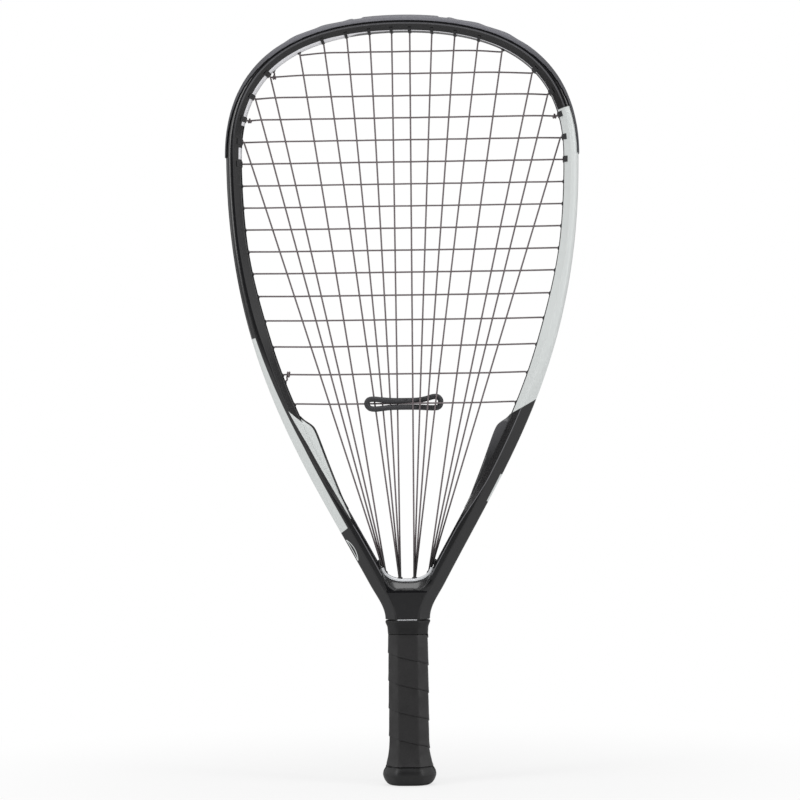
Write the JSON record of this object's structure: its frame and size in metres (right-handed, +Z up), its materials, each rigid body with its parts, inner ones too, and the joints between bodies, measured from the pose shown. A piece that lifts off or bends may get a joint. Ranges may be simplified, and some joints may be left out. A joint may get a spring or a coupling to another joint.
{
  "type": "racquetball racket",
  "caption": "Teardrop racquetball racket with a hollow moulded frame, woven string bed, rubber dampener, bumper guard and a short wrapped eight-sided grip.",
  "frame": {"origin": "centre of the butt end", "axes": "+Z up the handle to the head, +Y through the string bed towards the back, the strings lie in the X-Z plane"},
  "size_m": [0.2576, 0.0326, 0.5588],
  "materials": {
    "frame": "glossy lacquer over carbon composite, black with light grey paint on part of each side",
    "bumper_guard": "matte moulded nylon",
    "grommet_strip_left": "matte moulded nylon",
    "grommet_strip_right": "matte moulded nylon",
    "throat_liner": "satin white moulded plastic",
    "string_anchor": "drawn rod",
    "throat_rail_left": "light grey lacquer with a black inner edge",
    "throat_rail_right": "black lacquer",
    "main_string": "dark nylon string",
    "cross_string": "dark nylon string",
    "dampener": "matte rubber cord",
    "handle_sleeve": "moulded pallet",
    "grip_tape": "tacky wrapped tape",
    "grip_collar": "matte moulded rubber",
    "butt_cap": "satin moulded plastic",
    "handle_plug": "cut foam",
    "cap_tack_right": "bright steel",
    "cap_tack_back": "bright steel",
    "cap_tack_left": "bright steel",
    "cap_tack_front": "bright steel"
  },
  "bodies": {
    "root": {"frame": "frame", "bumper_guard": "bumper_guard", "grommet_strip_left": "grommet_strip_left", "grommet_strip_right": "grommet_strip_right", "throat_liner": "throat_liner", "string_anchor": "string_anchor", "throat_rail_left": "throat_rail_left", "throat_rail_right": "throat_rail_right", "main_string": "main_string", "cross_string": "cross_string", "dampener": "dampener", "handle_sleeve": "handle_sleeve", "grip_tape": "grip_tape", "grip_collar": "grip_collar", "butt_cap": "butt_cap", "handle_plug": "handle_plug", "cap_tack_right": "cap_tack_right", "cap_tack_back": "cap_tack_back", "cap_tack_left": "cap_tack_left", "cap_tack_front": "cap_tack_front"}
  },
  "joints": []
}
